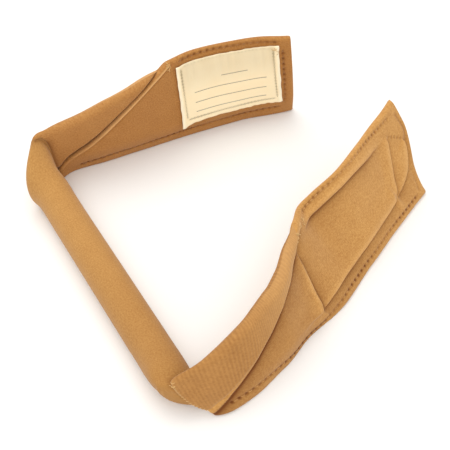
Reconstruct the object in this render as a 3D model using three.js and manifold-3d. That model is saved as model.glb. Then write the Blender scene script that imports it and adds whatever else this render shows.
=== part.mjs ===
// Patella strap: a padded roll that lies under the kneecap, with a flat wing folded up from each of its ends.
// The strap lies open on a surface as a three-sided loop. Millimetres, +Z up, lowest point at z = 0.

import * as THREE from 'three';
import { mergeVertices } from 'three/addons/utils/BufferGeometryUtils.js';
import Module from 'manifold-3d';

const wasm = await Module();
wasm.setup();

// Driving sizes
const ROLL_LENGTH = 148;            // from corner to corner
const ROLL_HEADING = 124;           // plan direction from the closure corner to the label corner, degrees
const ROLL_DIAMETER = 18;
const WING_WIDTH = 50;
const WING_THICKNESS = 4;
const LABEL_WING_LENGTH = 140;      // along the lower edge, from the corner to the free end
const CLOSURE_WING_LENGTH = 164;
const LABEL_BAND_WIDTH = 30;        // the flattened tube where it is folded at the corner
const CLOSURE_BAND_WIDTH = 26;
const BAND_SKIN = 2.4;              // thickness of the band where it laps over a wing
const BAND_PUFF = 3;                // half thickness of the band where it is free of the wing
const BAND_END = 0.6;               // the band's thickness at its folded end, as a share of its full thickness
const LAP = 6;                      // how far band and wing overlap along their diagonal seam
const SEAM = 1.2;                   // how far past a wing's diagonal edge its band starts to drop inwards
const HEM = 2;                      // width of the rounded border of a wing
const PRESSED = 0.5;                // how far a soft edge is pressed flat by the surface below it
const LABEL_LENGTH = 56;
const LABEL_WIDTH = 36;
const LABEL_THICKNESS = 0.8;
const LABEL_END_MARGIN = 9;         // from the label to the wing's free end
const LABEL_FOOT_SHARE = 0.64;      // how much of the width left over lies below the label
const HOOK_LENGTH = 64;
const HOOK_WIDTH = 30;
const HOOK_THICKNESS = 1.4;
const HOOK_END_MARGIN = 10;
const GAP = 0.3;                    // clearance between touching pieces
const LAP_GAP = 0.5;                // clearance of a band over its twisted wing

// Section of a band, from the lower edge that laps over the wing to the crown
const LAP_UPRIGHT = LAP * 1.25;     // the lap measured straight up the wing, across the slant of its edge
const LAP_EDGE = 0.55;              // thickness of the lower edge, as a share of the skin
const LAP_ROUND = 3;                // the height over which the lower edge rounds off
const INNER_DROP = 2;               // the height over which the inner face leaves the wing
const INNER_BELLY = 8;              // the height over which it then swells inwards
const OUTER_BELLY = 14;             // the height over which the outer face swells outwards
const CROWN = BAND_PUFF * 1.2;      // the height over which the crown rounds off
const CROWN_LEAST = 0.2;            // thickness of the crown, as a share of the puff
const BAND_LEAST = 0.8;             // least thickness
const BAND_TIP_TALL = 2;            // least height, where the band narrows to its bartack
const BAND_TIP_SHARE = 0.3;         // the share of the band's length over which its upper edge is drawn down

// Facets
const ROLL_SIDES = 20;
const BAND_LAP_ROWS = 3;
const BAND_FREE_ROWS = 5;
const BAND_STATIONS = [0, 0.018, 0.05, 0.1, 0.17, 0.25, 0.33, 0.41, 0.49, 0.57, 0.65, 0.73, 0.8, 0.87, 0.94, 1];
const LABEL_WING_STATIONS = 24;
const LABEL_WING_ROWS = [0, 0.04, 0.14, 0.27, 0.4, 0.52, 0.64, 0.76, 0.88, 0.96, 1];
const CLOSURE_WING_STATIONS = 40;
const CLOSURE_WING_ROWS = [0, 0.04, 0.11, 0.18, 0.22, 0.3, 0.42, 0.54, 0.66, 0.77, 0.85, 0.9, 0.96, 1];
const PATCH_STATIONS = 14;
const LABEL_ROWS = 4;
const HOOK_ROWS = 3;
const PATH_STEPS = 240;

function table(columns, rows) {
  return rows.map((row) => Object.fromEntries(columns.map((name, i) => [name, row[i]])));
}

// How each wing runs on the surface. along: share of the wing's length. heading: plan direction of the lower
// edge. lean: how far the wing tips towards the knee. slant: how far the rulings tip along the wing. All three
// are in degrees. rise: share of the way that the upper edge has climbed from the band's width to the wing's.
const WING_COLUMNS = ['along', 'heading', 'lean', 'slant', 'rise'];
const LABEL_WING_RUN = table(WING_COLUMNS, [
  [0.00, 42, -10, 0, 0.00],
  [0.05, 42, -8, 0, 0.10],
  [0.10, 32, -3, 0, 0.22],
  [0.15, 22, -1, 0, 0.32],
  [0.25, 24, 0, 0, 0.55],
  [0.35, 26, 1, 0, 0.75],
  [0.45, 25, -2, 0, 0.92],
  [0.52, 25, -5, 0, 1.00],
  [0.60, 24, -8, 0, 1.00],
  [0.75, 21, -7, 0, 1.00],
  [0.85, 19, -5, 0, 1.00],
  [0.93, 19, -1, 0, 1.00],
  [1.00, 19, 2, 0, 1.00],
]);
const CLOSURE_WING_RUN = table(WING_COLUMNS, [
  [0.00, 0, 5, -39, 0.00],
  [0.03, 8, 16, -32, 0.05],
  [0.06, 20, 22, -22, 0.13],
  [0.10, 31, 25, -10, 0.25],
  [0.15, 38, 26, 0, 0.39],
  [0.20, 44, 26, 0, 0.49],
  [0.25, 50, 25, 0, 0.59],
  [0.29, 57, 23, 0, 0.67],
  [0.33, 52, 24, 0, 0.75],
  [0.37, 43, 30, 0, 0.83],
  [0.41, 46, 33, 0, 0.89],
  [0.46, 54, 35, 0, 0.97],
  [0.50, 56, 37, 0, 1.00],
  [0.55, 57, 40, 0, 1.00],
  [0.60, 58, 38, 0, 1.00],
  [0.68, 56, 33, 0, 1.00],
  [0.80, 55, 33, 0, 1.00],
  [0.90, 54, 35, 0, 1.00],
  [1.00, 53, 36, 0, 1.00],
]);

// Where the wing's own diagonal edge lies. up: share of the wing's width. along: share of its length.
const EDGE_COLUMNS = ['up', 'along'];
const LABEL_WING_EDGE = table(EDGE_COLUMNS, [
  [0.00, 0.055],
  [0.14, 0.055],
  [0.24, 0.097],
  [0.33, 0.160],
  [0.42, 0.210],
  [0.54, 0.265],
  [0.71, 0.337],
  [0.82, 0.393],
  [0.92, 0.450],
  [1.00, 0.500],
]);
const CLOSURE_WING_EDGE = table(EDGE_COLUMNS, [
  [0.00, 0.030],
  [0.18, 0.030],
  [0.30, 0.085],
  [0.40, 0.130],
  [0.48, 0.175],
  [0.58, 0.230],
  [0.68, 0.285],
  [0.78, 0.330],
  [0.90, 0.390],
  [1.00, 0.440],
]);

// Outline of the free ends. up: share of the wing's width. reach: share of the width that the end stands past
// the wing's nominal length. climb: share of the width that the corner is drawn upwards.
const END_COLUMNS = ['up', 'reach', 'climb'];
const LABEL_WING_END = table(END_COLUMNS, [
  [0.00, -0.01, 0.00],
  [0.50, -0.06, 0.00],
  [1.00, -0.12, 0.00],
]);
const CLOSURE_WING_END = table(END_COLUMNS, [
  [0.00, -0.05, 0.00],
  [0.20, -0.07, 0.00],
  [0.36, -0.04, 0.00],
  [0.50, 0.03, 0.00],
  [0.65, 0.08, 0.00],
  [0.78, 0.09, 0.00],
  [0.90, 0.07, 0.01],
  [1.00, 0.09, 0.07],
]);
const CLIMB_POWER = 12;             // how closely the climb keeps to the wing's end
const RIM = 0.5;                    // thickness of a wing's rim, as a share of its full thickness

// The roll between its two flattened tips. along: share of the way from the closure tip to the label tip.
// across: half width, as a share of the roll's radius. tall: share of the way from a round section to the
// flat tip's height. turn: share of the way from square to the roll to parallel with the band.
const ROLL_RUN = table(['along', 'across', 'tall', 'turn'], [
  [0.000, 0.76, 1.00, 1.00],
  [0.025, 0.92, 0.88, 0.88],
  [0.060, 1.00, 0.60, 0.62],
  [0.100, 1.02, 0.32, 0.35],
  [0.160, 1.00, 0.10, 0.10],
  [0.230, 1.00, 0.00, 0.00],
  [0.770, 1.00, 0.00, 0.00],
  [0.840, 1.00, 0.10, 0.10],
  [0.900, 1.02, 0.32, 0.35],
  [0.940, 1.00, 0.60, 0.62],
  [0.975, 0.92, 0.88, 0.88],
  [1.000, 0.76, 1.00, 1.00],
]);
const ROLL_STATIONS = [0.025, 0.06, 0.1, 0.16, 0.23, 0.34, 0.45, 0.55, 0.66, 0.77, 0.84, 0.9, 0.94, 0.975];
const CLOSURE_TIP_SHIFT = -4;       // from the band's folded end to the middle of the roll's tip
const LABEL_TIP_SHIFT = -2.5;
const TIP_TALL = 0.9;               // height of the roll's tips, as a share of the band's width

// How the roll's tips round off past the band's folded end. out: how far outside the band's middle surface, as
// a share of the roll's diameter. across and tall: shares of the tip's own width and height.
const TIP_WRAP = table(['out', 'across', 'tall'], [
  [0.00, 1.00, 1.00],
  [0.05, 0.94, 0.90],
  [0.09, 0.70, 0.64],
]);

// Places along a band's folded end that the roll's tip is fitted to, as shares of the roll's diameter.
const BAND_END_ROOM = table(['along'], [[0], [0.2], [0.4], [0.7], [1.1]]);

// Shingled folds in the closure wing's outer cloth. from and to: the two ends of each fold's lip, as shares of
// the wing's length and width. side: 1 where the raised cloth lies to the left of the line, -1 to the right.
// lift: height of the lip. reach: how far the raised cloth slopes back from it, as a share of the width.
const FOLDS = table(['fromAlong', 'fromUp', 'toAlong', 'toUp', 'side', 'lift', 'reach'], [
  [0.430, 0.86, 0.412, 0.12, -1, 1.5, 0.30],
  [0.412, 0.19, 0.872, 0.23, 1, 1.6, 0.40],
  [0.872, 0.25, 0.985, 0.72, 1, 1.4, 0.20],
  [0.520, 0.88, 0.945, 0.84, -1, 0.9, 0.15],
]);
const FOLD_FALL = 3.5;              // width of the step below a lip

// Numbers between the rows of a table: a smooth curve through them.
function sample(rows, key, column, at) {
  const last = rows.length - 1;
  let i = rows.findIndex((row) => row[key] > at) - 1;
  if (i < 0) i = at <= rows[0][key] ? 0 : last - 1;
  const slope = (k) => (rows[k + 1][column] - rows[k][column]) / (rows[k + 1][key] - rows[k][key]);
  const tangent = (k) => {
    if (k === 0) return slope(0);
    if (k === last) return slope(last - 1);
    return (slope(k - 1) + slope(k)) / 2;
  };
  const span = rows[i + 1][key] - rows[i][key];
  const t = THREE.MathUtils.clamp((at - rows[i][key]) / span, 0, 1);
  const u = 1 - t;
  return rows[i][column] * (1 + 2 * t) * u * u + span * tangent(i) * t * u * u
    + rows[i + 1][column] * t * t * (3 - 2 * t) - span * tangent(i + 1) * t * t * u;
}

const radians = THREE.MathUtils.degToRad;
const clamp = THREE.MathUtils.clamp;
const lerp = THREE.MathUtils.lerp;
const smooth = (x) => THREE.MathUtils.smoothstep(x, 0, 1);
const UP = new THREE.Vector3(0, 0, 1);

function heading(degrees) {
  return new THREE.Vector3(Math.cos(radians(degrees)), Math.sin(radians(degrees)), 0);
}

// A wing's middle surface: a ruled sheet over a lower edge that runs along the ground.
// outside is 1 where the outer face lies to the left of the run, -1 where it lies to the right.
class WingSurface {
  constructor(run, length, bandWidth, start, outside) {
    Object.assign(this, { run, length, bandWidth, outside });
    this.path = [start.clone()];
    for (let i = 1; i <= PATH_STEPS; i += 1) {
      const middle = sample(run, 'along', 'heading', (i - 0.5) / PATH_STEPS);
      this.path.push(this.path[i - 1].clone().addScaledVector(heading(middle), length / PATH_STEPS));
    }
  }

  foot(s) {
    const at = clamp(s / this.length, 0, 1) * PATH_STEPS;
    const i = Math.min(Math.floor(at), PATH_STEPS - 1);
    const point = this.path[i].clone().lerp(this.path[i + 1], at - i);
    const beyond = s - clamp(s, 0, this.length);
    return point.addScaledVector(this.tangent(s), beyond);
  }

  tangent(s) {
    return heading(sample(this.run, 'along', 'heading', clamp(s / this.length, 0, 1)));
  }

  frame(s) {
    const along = clamp(s / this.length, 0, 1);
    const tangent = this.tangent(s);
    const out = new THREE.Vector3(-tangent.y, tangent.x, 0).multiplyScalar(this.outside);
    const lean = radians(sample(this.run, 'along', 'lean', along));
    const slant = radians(sample(this.run, 'along', 'slant', along));
    const upright = out.clone().multiplyScalar(-Math.sin(lean)).addScaledVector(UP, Math.cos(lean));
    const normal = out.clone().multiplyScalar(Math.cos(lean)).addScaledVector(UP, Math.sin(lean));
    const ruling = upright.multiplyScalar(Math.cos(slant)).addScaledVector(tangent, Math.sin(slant));
    return { foot: this.foot(s), tangent, ruling, normal };
  }

  height(s) {
    const rise = sample(this.run, 'along', 'rise', clamp(s / this.length, 0, 1));
    return lerp(this.bandWidth, WING_WIDTH, rise);
  }

  point(s, w, n) {
    const { foot, ruling, normal } = this.frame(s);
    return foot.addScaledVector(ruling, w).addScaledVector(normal, n);
  }
}

// A solid through a row of sections. Each section has an inner and an outer line of points, and the last
// points of both lines are joined, as are the first. What rests is pressed flat on the surface below it.
function loft(sections, rests = true) {
  const rows = sections[0].inner.length;
  const positions = [];
  for (const section of sections) {
    for (const point of [...section.inner, ...section.outer]) {
      positions.push(point.x, point.y, rests ? Math.max(point.z, 0) : point.z);
    }
  }
  const inner = (i, k) => i * 2 * rows + k;
  const outer = (i, k) => i * 2 * rows + rows + k;
  const index = [];
  const quad = (a, b, c, d) => index.push(a, b, c, a, c, d);
  for (let i = 0; i + 1 < sections.length; i += 1) {
    for (let k = 0; k + 1 < rows; k += 1) {
      quad(inner(i, k), inner(i, k + 1), inner(i + 1, k + 1), inner(i + 1, k));
      quad(outer(i, k), outer(i + 1, k), outer(i + 1, k + 1), outer(i, k + 1));
    }
    quad(inner(i, 0), inner(i + 1, 0), outer(i + 1, 0), outer(i, 0));
    quad(inner(i, rows - 1), outer(i, rows - 1), outer(i + 1, rows - 1), inner(i + 1, rows - 1));
  }
  const end = sections.length - 1;
  for (let k = 0; k + 1 < rows; k += 1) {
    quad(inner(0, k), outer(0, k), outer(0, k + 1), inner(0, k + 1));
    quad(inner(end, k), inner(end, k + 1), outer(end, k + 1), outer(end, k));
  }
  const geometry = new THREE.BufferGeometry();
  geometry.setAttribute('position', new THREE.Float32BufferAttribute(positions, 3));
  geometry.setIndex(facingOut(positions, index));
  geometry.computeVertexNormals();
  return geometry;
}

// Turns every triangle over if the solid came out inside out.
function facingOut(positions, index) {
  const at = (i) => new THREE.Vector3().fromArray(positions, 3 * i);
  let volume = 0;
  for (let i = 0; i < index.length; i += 3) {
    volume += at(index[i]).dot(at(index[i + 1]).cross(at(index[i + 2])));
  }
  return volume > 0 ? index : index.slice().reverse();
}

// Shares from 0 to 1 with a narrow first and last step, for a border of the given share.
function borderedShares(steps, border) {
  const shares = [0];
  for (let i = 0; i <= steps; i += 1) shares.push(lerp(border, 1 - border, i / steps));
  return [...shares, 1];
}

// The height of the shingled folds at a place on the closure wing. They end where the band laps over them.
function foldRelief(s, w) {
  const clear = wingEdgeHeight(CLOSURE_WING_EDGE, closureSurface, s) - LAP_UPRIGHT - w;
  const shown = smooth(clear / FOLD_FALL);
  let height = 0;
  for (const fold of FOLDS) {
    const from = new THREE.Vector2(fold.fromAlong * CLOSURE_WING_LENGTH, fold.fromUp * WING_WIDTH);
    const to = new THREE.Vector2(fold.toAlong * CLOSURE_WING_LENGTH, fold.toUp * WING_WIDTH);
    const line = to.clone().sub(from);
    const length = line.length();
    line.divideScalar(length);
    const offset = new THREE.Vector2(s, w).sub(from);
    const travel = offset.dot(line);
    const distance = (line.x * offset.y - line.y * offset.x) * fold.side;
    const ends = smooth(travel / FOLD_FALL + 1) * smooth((length - travel) / FOLD_FALL + 1);
    const step = smooth(distance / FOLD_FALL + 1);
    const slope = 1 - smooth(distance / (fold.reach * WING_WIDTH));
    height = Math.max(height, fold.lift * shown * ends * step * slope);
  }
  return height;
}

// A wing: a doubled cloth laminate with a rounded border, from its diagonal edge to its free end.
function wingGeometry(surface, edge, end, stations, rows, relief) {
  const sections = borderedShares(stations, HEM / surface.length).map((share) => {
    const inner = [];
    const outer = [];
    for (const up of rows) {
      const first = sample(edge, 'up', 'along', up) * surface.length;
      const last = surface.length + sample(end, 'up', 'reach', up) * WING_WIDTH;
      const s = lerp(first, last, share);
      const rim = Math.min(share, 1 - share, up, 1 - up) === 0;
      const half = WING_THICKNESS / 2 * (rim ? RIM : 1);
      const climb = sample(end, 'up', 'climb', up) * share ** CLIMB_POWER;
      const w = (up + climb) * WING_WIDTH;
      inner.push(surface.point(s, w, -half));
      outer.push(surface.point(s, w, half + (rim ? 0 : relief(s, w))));
    }
    return { inner, outer };
  });
  return loft(sections);
}

// Half the thickness of a band where it is free of its wing.
function bandHalf(s) {
  return BAND_PUFF * Math.min(1, BAND_END + Math.max(s / ROLL_DIAMETER - 0.35, 0));
}

// Where a wing's diagonal edge stands at a place along it, and where the band's edge lies below it.
function wingEdgeHeight(edge, surface, s) {
  const share = s / surface.length;
  const upper = edge.findIndex((row, i) => i > 1 && row.along > share);
  if (share <= edge[1].along) return edge[1].up * WING_WIDTH;
  if (upper < 0) return WING_WIDTH + (share - edge[edge.length - 1].along) * surface.length;
  const [a, b] = [edge[upper - 1], edge[upper]];
  return lerp(a.up, b.up, (share - a.along) / (b.along - a.along)) * WING_WIDTH;
}

// A band: the flattened end of the roll's cover. It is puffed where it is free, laps over the outer face of
// its wing along the diagonal, and narrows to the bartack on the upper edge.
function bandGeometry(surface, edge) {
  const tip = edge[edge.length - 1].along * surface.length + LAP / 2;
  const seat = WING_THICKNESS / 2 + LAP_GAP;
  const sections = BAND_STATIONS.map((share) => {
    const s = share * tip;
    const drawn = smooth((share - 1 + BAND_TIP_SHARE) / BAND_TIP_SHARE);
    const top = surface.height(s) - LAP / 2 * drawn;
    const wingEdge = wingEdgeHeight(edge, surface, s);
    const bottom = clamp(wingEdge - LAP_UPRIGHT, 0, top - BAND_TIP_TALL);
    const seam = wingEdge + SEAM;
    const knee = clamp(seam, lerp(bottom, top, 0.15), lerp(bottom, top, 0.7));
    const full = bandHalf(s) / BAND_PUFF;
    const inner = [];
    const outer = [];
    for (let k = -BAND_LAP_ROWS; k <= BAND_FREE_ROWS; k += 1) {
      const w = k < 0 ? lerp(knee, bottom, -k / BAND_LAP_ROWS) : lerp(knee, top, k / BAND_FREE_ROWS);
      const past = Math.max(w - seam, 0);
      const crown = full * BAND_PUFF * Math.sqrt(clamp((top - w) / CROWN, CROWN_LEAST ** 2, 1));
      const skin = full * BAND_SKIN * clamp(LAP_EDGE + (w - bottom) / LAP_ROUND, 0, 1);
      const low = lerp(seat, -crown * smooth(past / INNER_BELLY), smooth(past / INNER_DROP));
      const high = lerp(seat + skin, crown, smooth(past / OUTER_BELLY));
      inner.push(surface.point(s, w, Math.min(low, high - BAND_LEAST)));
      outer.push(surface.point(s, w, high));
    }
    return { inner, outer };
  });
  return loft(sections);
}

// A flat piece sewn to the inner face of a wing.
function patchGeometry(surface, from, to, low, high, thickness, rows) {
  const seat = -(WING_THICKNESS / 2 + GAP);
  const sections = [];
  for (let i = 0; i <= PATCH_STATIONS; i += 1) {
    const inner = [];
    const outer = [];
    for (let k = 0; k <= rows; k += 1) {
      const s = lerp(from, to, i / PATCH_STATIONS);
      const w = lerp(low, high, k / rows);
      inner.push(surface.point(s, w, seat - thickness));
      outer.push(surface.point(s, w, seat));
    }
    sections.push({ inner, outer });
  }
  return loft(sections);
}

function solidOf(geometry) {
  const bare = geometry.clone();
  bare.deleteAttribute('normal');
  const merged = mergeVertices(bare);
  return new wasm.Manifold(new wasm.Mesh({
    numProp: 3,
    vertProperties: merged.attributes.position.array,
    triVerts: merged.index.array,
  }));
}

function geometryOf(solid) {
  const mesh = solid.getMesh();
  const geometry = new THREE.BufferGeometry();
  geometry.setAttribute('position', new THREE.BufferAttribute(mesh.vertProperties, 3));
  geometry.setIndex(new THREE.BufferAttribute(mesh.triVerts, 1));
  geometry.computeVertexNormals();
  return geometry;
}

// The room that a band's folded end takes up, and all that lies outside it.
function bandEndRoom(surface) {
  const sections = BAND_END_ROOM.map((row) => {
    const s = row.along * ROLL_DIAMETER - GAP;
    const seat = -(bandHalf(s) + GAP);
    const foot = -surface.bandWidth;
    const top = 2 * surface.bandWidth;
    return {
      inner: [surface.point(s, foot, seat), surface.point(s, top, seat)],
      outer: [surface.point(s, foot, ROLL_DIAMETER), surface.point(s, top, ROLL_DIAMETER)],
    };
  });
  return solidOf(loft(sections, false));
}

// The roll: a round foam-filled tube. Each tip is flattened against the inner face of a band, and comes round
// the outside of the band's folded end.
function rollGeometry(closure, label) {
  const tipOf = (surface, shift) => {
    const { tangent, ruling } = surface.frame(0);
    const half = surface.bandWidth / 2 * TIP_TALL;
    return { surface, shift, half, wide: tangent, tall: ruling, centre: surface.point(shift, half, 0) };
  };
  const near = tipOf(closure, CLOSURE_TIP_SHIFT);
  const far = tipOf(label, LABEL_TIP_SHIFT);
  const axis = far.centre.clone().sub(near.centre).setZ(0);
  const length = axis.length();
  axis.normalize();
  const square = new THREE.Vector3(axis.y, -axis.x, 0);
  const radius = ROLL_DIAMETER / 2;
  const section = (place) => {
    const ring = [];
    for (let k = 0; k < ROLL_SIDES; k += 1) {
      const angle = 2 * Math.PI * (k + 0.5) / ROLL_SIDES;
      ring.push(place(Math.sin(angle), -Math.cos(angle)));
    }
    return { inner: ring.slice(0, ROLL_SIDES / 2), outer: ring.slice(ROLL_SIDES / 2).reverse() };
  };
  const tipSection = (tip, wrap) => {
    const halfWide = radius * ROLL_RUN[0].across * wrap.across;
    const halfTall = tip.half * wrap.tall;
    return section((x, y) => tip.surface.point(
      tip.shift + halfWide * x, tip.half + halfTall * y, wrap.out * ROLL_DIAMETER));
  };
  const body = ROLL_STATIONS.map((along) => {
    const tip = along < 0.5 ? near : far;
    const value = (column) => sample(ROLL_RUN, 'along', column, along);
    const wide = square.clone().lerp(tip.wide, value('turn')).normalize();
    const tall = UP.clone().lerp(tip.tall, value('tall')).normalize();
    const halfTall = lerp(radius, tip.half, value('tall'));
    const halfWide = radius * value('across');
    const centre = near.centre.clone().addScaledVector(axis, along * length);
    centre.z = halfTall * tall.z - PRESSED;
    return section((x, y) => (
      centre.clone().addScaledVector(wide, halfWide * x).addScaledVector(tall, halfTall * y)));
  });
  const nearTip = TIP_WRAP.map((wrap) => tipSection(near, wrap)).reverse();
  const farTip = TIP_WRAP.map((wrap) => tipSection(far, wrap));
  const tube = solidOf(loft([...nearTip, ...body, ...farTip]));
  return geometryOf(tube.subtract(bandEndRoom(closure)).subtract(bandEndRoom(label)));
}

const closureStart = new THREE.Vector3(0, 0, -PRESSED);
const labelStart = closureStart.clone().addScaledVector(heading(ROLL_HEADING), ROLL_LENGTH);
const closureSurface = new WingSurface(
  CLOSURE_WING_RUN, CLOSURE_WING_LENGTH, CLOSURE_BAND_WIDTH, closureStart, -1);
const labelSurface = new WingSurface(LABEL_WING_RUN, LABEL_WING_LENGTH, LABEL_BAND_WIDTH, labelStart, 1);

const labelEnd = LABEL_WING_LENGTH - LABEL_END_MARGIN;
const labelFoot = (WING_WIDTH - LABEL_WIDTH) * LABEL_FOOT_SHARE;
const hookEnd = CLOSURE_WING_LENGTH - HOOK_END_MARGIN;
const hookFoot = (WING_WIDTH - HOOK_WIDTH) / 2;

const cloth = (color) => new THREE.MeshStandardMaterial({ color, roughness: 0.95, metalness: 0 });

function piece(name, geometry, material) {
  const mesh = new THREE.Mesh(geometry, material);
  mesh.name = name;
  return mesh;
}

const strap = new THREE.Group();
strap.add(piece('roll', rollGeometry(closureSurface, labelSurface), cloth(0xcf9a58)));
strap.add(piece('band_label', bandGeometry(labelSurface, LABEL_WING_EDGE), cloth(0xb87e42)));
strap.add(piece('band_closure', bandGeometry(closureSurface, CLOSURE_WING_EDGE), cloth(0xc08a4c)));
strap.add(piece('wing_label', wingGeometry(labelSurface, LABEL_WING_EDGE, LABEL_WING_END,
  LABEL_WING_STATIONS, LABEL_WING_ROWS, () => 0), cloth(0xb07c42)));
strap.add(piece('wing_closure', wingGeometry(closureSurface, CLOSURE_WING_EDGE, CLOSURE_WING_END,
  CLOSURE_WING_STATIONS, CLOSURE_WING_ROWS, foldRelief), cloth(0xc99656)));
strap.add(piece('label', patchGeometry(labelSurface, labelEnd - LABEL_LENGTH, labelEnd,
  labelFoot, labelFoot + LABEL_WIDTH, LABEL_THICKNESS, LABEL_ROWS), cloth(0xeed9ae)));
strap.add(piece('hook_patch', patchGeometry(closureSurface, hookEnd - HOOK_LENGTH, hookEnd,
  hookFoot, hookFoot + HOOK_WIDTH, HOOK_THICKNESS, HOOK_ROWS), cloth(0xc8a878)));

// The origin is below the middle of the strap's box, on the surface that it lies on.
const middle = new THREE.Box3().setFromObject(strap).getCenter(new THREE.Vector3());
strap.position.set(-middle.x, -middle.y, 0);

export default strap;
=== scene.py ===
"""Patella strap, lying open on a pale surface. The fine cloth pieces stand for the plain solids of the frame.

Wing coordinates are in millimetres: s runs along a wing's lower edge from its corner, w up the wing, and n
outwards from the middle of the cloth. The strap's lengths are in millimetres up to Strap.place, which gives
metres. The camera, the floor and the lamps are placed in metres.
"""

import math

import bpy
import numpy as np
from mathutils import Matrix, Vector
from mathutils.bvhtree import BVHTree


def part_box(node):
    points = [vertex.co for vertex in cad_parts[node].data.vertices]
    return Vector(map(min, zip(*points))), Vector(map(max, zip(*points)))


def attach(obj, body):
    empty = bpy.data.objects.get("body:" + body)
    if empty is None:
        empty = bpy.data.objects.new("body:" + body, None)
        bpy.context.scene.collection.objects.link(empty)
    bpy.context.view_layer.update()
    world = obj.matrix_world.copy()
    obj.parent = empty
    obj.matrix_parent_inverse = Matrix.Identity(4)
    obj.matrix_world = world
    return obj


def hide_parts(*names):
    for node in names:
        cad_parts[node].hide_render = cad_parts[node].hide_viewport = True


MM = 0.001

# The photograph's camera: a plain lens that looks down at a point of the floor inside the strap
CAMERA_LOOK = (-0.0012, 0.0084, 0)
CAMERA_DISTANCE = 0.385
CAMERA_ELEVATION = 50
CAMERA_LENS = 63.5
SENSOR = 36
FLOOR_HALF = 6
FLOOR_HEIGHT = -0.0002

# Driving sizes of the strap, in millimetres
ROLL_LENGTH = 148
ROLL_HEADING = 124
ROLL_DIAMETER = 18
WING_WIDTH = 50
WING_THICKNESS = 4
LABEL_WING_LENGTH = 140
CLOSURE_WING_LENGTH = 164
LABEL_BAND_WIDTH = 30
CLOSURE_BAND_WIDTH = 26
BAND_SKIN = 1.7
BAND_PUFF = 3
BAND_END = 0.6
LAP = 6
SEAM = 0.5
PRESSED = 0.5
HOOK_LENGTH = 64
HOOK_WIDTH = 30
HOOK_THICKNESS = 1.4
HOOK_END_MARGIN = 10
GAP = 0.3
LAP_GAP = 0.5
LABEL_THICKNESS = 0.7
LABEL_WING_PROUD = 1.3
WING_LEAST = 0.08
WING_SWELL = [(0.16, 26), (0.05, 9)]
BAND_SWELL = (0.15, 22)

# Section of a band, from the lower edge that laps over the wing to the crown
LAP_UPRIGHT = LAP * 1.25
LAP_ROUND = 1.5
INNER_DROP = 1.4
INNER_BELLY = 3.5
OUTER_BELLY = 14
CROWN = BAND_PUFF * 1.2
BROW = 3.5
BAND_LEAST = 0.8
BAND_TIP_TALL = 2
BAND_TIP_SHARE = 0.3
CUT_ROUND = 1.6
TIP_ROUND = 2.5
HEEL_REACH = 9
CUT_REACH = 20
SWELL_FROM = 6
KNEE_LOW = 0.15
KNEE_HIGH = 0.7

# Cream label: its cut size, and its corners on the wing from the lower left one round to the lower right one
LABEL_LENGTH = 56
LABEL_HEIGHT = 36
LABEL_CORNERS = [(75, 11), (73.6, 47.4), (127.4, 47.2), (131, 11.8)]
LABEL_BORDER = 1.2
LABEL_LIFT = 0.5

# Waves in the label, each a height and a size: along its long and short edges, round its rim, all over it
LONG_WAVES = (0.26, 4.5)
SHORT_WAVES = (0.18, 6)
RIM_WAVES = (0.22, 7)
WIDE_WAVES = (0.16, 22)
WAVE_REACH = 2

# Hook tape: its backing, and the small hooks on it
HOOK_BASE = 0.8
HOOK_PITCH = 1.5
HOOK_LEAN = 0.3
HOOK_TALL = 0.6
HOOK_WIRE = 0.14
HOOK_MARGIN = 4
HOOK_STOP = CLOSURE_WING_LENGTH - HOOK_END_MARGIN
HOOK_START = HOOK_STOP - HOOK_LENGTH
HOOK_FOOT = (WING_WIDTH - HOOK_WIDTH) / 2

# Threads, and how each kind of stitch rises from the cloth along its length
THREAD = 0.22
LABEL_THREAD = 0.11
TACK_THREAD = 0.13
STITCH_ARCH = np.array([-0.4, 0.05, 0.12, 0.05, -0.4])
STITCH_SPAN = 0.62
TACK_ARCH = np.array([-0.3, 0.15, 0.25, 0.25, 0.25, 0.15, -0.3])
WHIP_ARCH = np.array([-0.1, 0.1, 0.1, 0.1, 0.05, -0.3])
WHIP_REACH = 1.7
WHIP_SLANT = 0.35
FRAY_STEPS = 7
FRAY_STEP = 0.4

# Fineness of the meshes
CELL = 0.5
RIM_STEPS = 6
PATH_STEPS = 480
LAP_ROWS = 12
WING_BORDER = 2
BAND_BORDER = 1.5
ROLL_SIDES = 96
ROLL_STATIONS = 260
ROLL_WRAPS = 6


def smooth(x):
    """Rises softly from 0 to 1 with x."""
    x = np.clip(x, 0, 1)
    return x * x * (3 - 2 * x)


def fade(x):
    return 1 - smooth(x)


def bell(x, reach):
    """1 at 0, falling softly to both sides."""
    return np.exp(-((x / reach) ** 2))


def lerp(a, b, t):
    return a + (b - a) * t


def rounded(distance, radius, least=0):
    """Height of a quarter circle at a distance from the edge that it rises from, as a share of the radius."""
    x = np.clip(distance / radius, 0, 1)
    return np.maximum(np.sqrt(1 - (1 - x) ** 2), least)


class Table:
    """Rows of numbers under named columns, read as a smooth curve through them."""

    def __init__(self, columns, rows):
        self.columns = dict(zip(columns.split(), np.array(rows, float).T))

    def read(self, key, column, at):
        x, y = self.columns[key], self.columns[column]
        slopes = np.diff(y) / np.diff(x)
        tangents = np.concatenate([slopes[:1], (slopes[:-1] + slopes[1:]) / 2, slopes[-1:]])
        i = np.clip(np.searchsorted(x, at, side="right") - 1, 0, len(x) - 2)
        span = x[i + 1] - x[i]
        t = np.clip((at - x[i]) / span, 0, 1)
        u = 1 - t
        return (
            y[i] * (1 + 2 * t) * u * u
            + span * tangents[i] * t * u * u
            + y[i + 1] * t * t * (3 - 2 * t)
            - span * tangents[i + 1] * t * t * u
        )


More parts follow.
